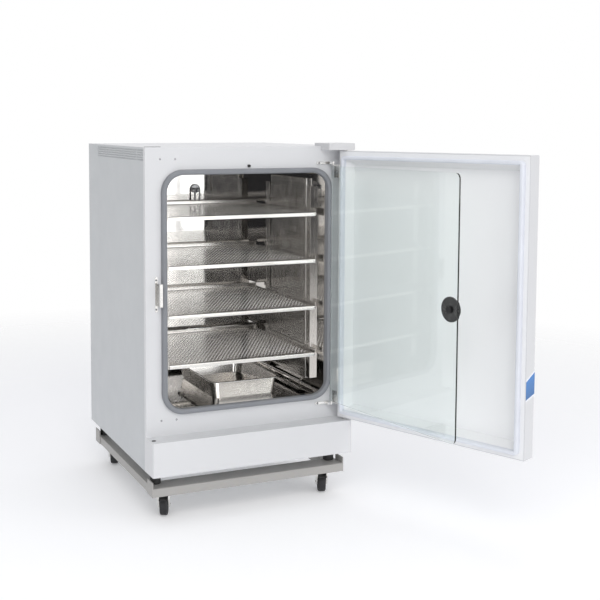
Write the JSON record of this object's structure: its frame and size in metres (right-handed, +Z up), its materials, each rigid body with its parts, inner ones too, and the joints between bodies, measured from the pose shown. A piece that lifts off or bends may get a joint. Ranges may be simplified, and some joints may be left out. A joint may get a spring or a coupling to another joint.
{
  "type": "laboratory incubator",
  "caption": "Floor-standing carbon-dioxide incubator on a castered base: insulated cabinet, polished chamber with perforated shelves and water pan, glass inner door and insulated outer door.",
  "frame": {"origin": "on the floor, under the middle of the casing", "axes": "+Z up, the doors and the chamber's mouth face -Y, hinges on the +X side"},
  "size_m": [0.8709, 1.2103, 1.059],
  "materials": {
    "front_paint": "satin",
    "side_paint": "satin",
    "cap_plastic": "satin",
    "polished_steel": "polished",
    "brushed_steel": "satin",
    "hardware_steel": "satin",
    "screw_steel": "satin",
    "chamber_silicone": "matte",
    "liner_plastic": "satin",
    "seal_rubber": "satin",
    "foam": "matte",
    "heater_foil": "satin",
    "circuit_board": "satin",
    "dark_plastic": "satin",
    "sensor_steel": "satin",
    "motor_metal": "satin",
    "gas_brass": "satin",
    "panel_plastic": "satin",
    "display_glass": "gloss",
    "accent_blue": "gloss",
    "clear_glass": "polished",
    "base_paint": "satin",
    "foot_rubber": "matte",
    "wheel_rubber": "satin"
  },
  "bodies": {
    "cabinet": {"side_panel_left": "side_paint", "side_panel_right": "side_paint", "top_panel": "front_paint", "base_pan": "side_paint", "front_frame": "front_paint", "rear_panel": "side_paint", "chamber_liner": "polished_steel", "chamber_heater": "heater_foil", "insulation": "foam", "chamber_gasket": "chamber_silicone", "shelf_posts": "brushed_steel", "shelf_rails": "brushed_steel", "duct_panel": "brushed_steel", "fan_motor": "motor_metal", "chamber_sensor": "sensor_steel", "control_electronics": "circuit_board", "gas_inlet": "gas_brass", "mains_inlet": "dark_plastic", "lower_front_cover": "front_paint", "hinge_plates": "hardware_steel", "hinge_pins": "hardware_steel", "hinge_cap": "cap_plastic", "spare_hinge_plugs": "dark_plastic", "glass_hinge_brackets": "hardware_steel", "strike_plate": "hardware_steel", "base_rails": "base_paint", "corner_plates": "base_paint", "equipment_feet": "foot_rubber", "caster_plates": "hardware_steel", "casing_screws": "screw_steel"},
    "outer_door": {"door_shell": "front_paint", "door_liner": "liner_plastic", "door_gasket": "seal_rubber", "door_foam": "foam", "door_bushes": "hardware_steel", "door_pull": "dark_plastic", "control_panel": "panel_plastic", "display_window": "display_glass", "accent_band": "accent_blue"},
    "glass_door": {"glass_pane": "clear_glass", "glass_clips": "hardware_steel"},
    "latch": {"latch_knob": "dark_plastic"},
    "water_pan": {"water_pan": "brushed_steel"},
    "impeller": {"fan_impeller": "dark_plastic"},
    "door_switch": {"door_switch": "dark_plastic"},
    "power_switch": {"power_switch": "dark_plastic"},
    "shelf_1": {"shelf_1": "brushed_steel"},
    "shelf_2": {"shelf_2": "brushed_steel"},
    "shelf_3": {"shelf_3": "brushed_steel"},
    "shelf_4": {"shelf_4": "brushed_steel"},
    "wheel_front_left": {"wheel_front_left": "wheel_rubber"},
    "fork_front_left": {"fork_front_left": "hardware_steel"},
    "brake_front_left": {"brake_front_left": "dark_plastic"},
    "wheel_front_right": {"wheel_front_right": "wheel_rubber"},
    "fork_front_right": {"fork_front_right": "hardware_steel"},
    "brake_front_right": {"brake_front_right": "dark_plastic"},
    "wheel_rear_left": {"wheel_rear_left": "wheel_rubber"},
    "fork_rear_left": {"fork_rear_left": "hardware_steel"},
    "wheel_rear_right": {"wheel_rear_right": "wheel_rubber"},
    "fork_rear_right": {"fork_rear_right": "hardware_steel"}
  },
  "joints": [
    {"name": "outer_door_hinge", "type": "hinge", "parent": "cabinet", "child": "outer_door", "pos_m": [0.298, -0.327, 0.63], "axis": [0, 0, 1], "range_deg": [-113, 7]},
    {"name": "glass_door_hinge", "type": "hinge", "parent": "cabinet", "child": "glass_door", "pos_m": [0.262, -0.315, 0.63], "axis": [0, 0, 1], "range_deg": [-99.5, 6.17]},
    {"name": "latch_turn", "type": "hinge", "parent": "glass_door", "child": "latch", "pos_m": [0.34156, -0.80864, 0.641], "axis": [0.9863, 0.165, 0], "range_deg": [0, 90]},
    {"name": "water_pan_slide", "type": "slide", "parent": "cabinet", "child": "water_pan", "axis": [0, -1, 0], "range_m": [0, 0.06]},
    {"name": "fan_spin", "type": "hinge", "parent": "cabinet", "child": "impeller", "pos_m": [0.26, -0.045, 0.73], "axis": [1, 0, 0], "continuous": true},
    {"name": "door_switch_press", "type": "slide", "parent": "cabinet", "child": "door_switch", "axis": [0, 1, 0], "range_m": [0, 0.004], "stiffness_N_per_m": 200},
    {"name": "power_switch_rock", "type": "hinge", "parent": "cabinet", "child": "power_switch", "pos_m": [-0.15, 0.294, 0.23], "axis": [1, 0, 0], "range_deg": [-12, 0]},
    {"name": "shelf_1_slide", "type": "slide", "parent": "cabinet", "child": "shelf_1", "axis": [0, -1, 0], "range_m": [0, 0.3]},
    {"name": "shelf_2_slide", "type": "slide", "parent": "cabinet", "child": "shelf_2", "axis": [0, -1, 0], "range_m": [0, 0.3]},
    {"name": "shelf_3_slide", "type": "slide", "parent": "cabinet", "child": "shelf_3", "axis": [0, -1, 0], "range_m": [0, 0.3]},
    {"name": "shelf_4_slide", "type": "slide", "parent": "cabinet", "child": "shelf_4", "axis": [0, -1, 0], "range_m": [0, 0.3]},
    {"name": "swivel_front_left", "type": "hinge", "parent": "cabinet", "child": "fork_front_left", "pos_m": [-0.252, -0.274, 0.069], "axis": [0, 0, 1], "continuous": true},
    {"name": "brake_front_left_press", "type": "hinge", "parent": "fork_front_left", "child": "brake_front_left", "pos_m": [-0.25575, -0.28327, 0.059], "axis": [0.9272, -0.3746, 0], "range_deg": [0, 18]},
    {"name": "wheel_front_left_roll", "type": "hinge", "parent": "fork_front_left", "child": "wheel_front_left", "pos_m": [-0.24751, -0.26287, 0.03], "axis": [0.9272, -0.3746, 0], "continuous": true},
    {"name": "swivel_front_right", "type": "hinge", "parent": "cabinet", "child": "fork_front_right", "pos_m": [0.252, -0.274, 0.069], "axis": [0, 0, 1], "continuous": true},
    {"name": "brake_front_right_press", "type": "hinge", "parent": "fork_front_right", "child": "brake_front_right", "pos_m": [0.24825, -0.28327, 0.059], "axis": [0.9272, -0.3746, 0], "range_deg": [0, 18]},
    {"name": "wheel_front_right_roll", "type": "hinge", "parent": "fork_front_right", "child": "wheel_front_right", "pos_m": [0.25649, -0.26287, 0.03], "axis": [0.9272, -0.3746, 0], "continuous": true},
    {"name": "swivel_rear_left", "type": "hinge", "parent": "cabinet", "child": "fork_rear_left", "pos_m": [-0.252, 0.23, 0.069], "axis": [0, 0, 1], "continuous": true},
    {"name": "wheel_rear_left_roll", "type": "hinge", "parent": "fork_rear_left", "child": "wheel_rear_left", "pos_m": [-0.24751, 0.24113, 0.03], "axis": [0.9272, -0.3746, 0], "continuous": true},
    {"name": "swivel_rear_right", "type": "hinge", "parent": "cabinet", "child": "fork_rear_right", "pos_m": [0.252, 0.23, 0.069], "axis": [0, 0, 1], "continuous": true},
    {"name": "wheel_rear_right_roll", "type": "hinge", "parent": "fork_rear_right", "child": "wheel_rear_right", "pos_m": [0.25649, 0.24113, 0.03], "axis": [0.9272, -0.3746, 0], "continuous": true}
  ],
  "couplings": [
    {"joint": "glass_door_hinge", "follows": "outer_door_hinge", "ratio": 0.88053}
  ]
}
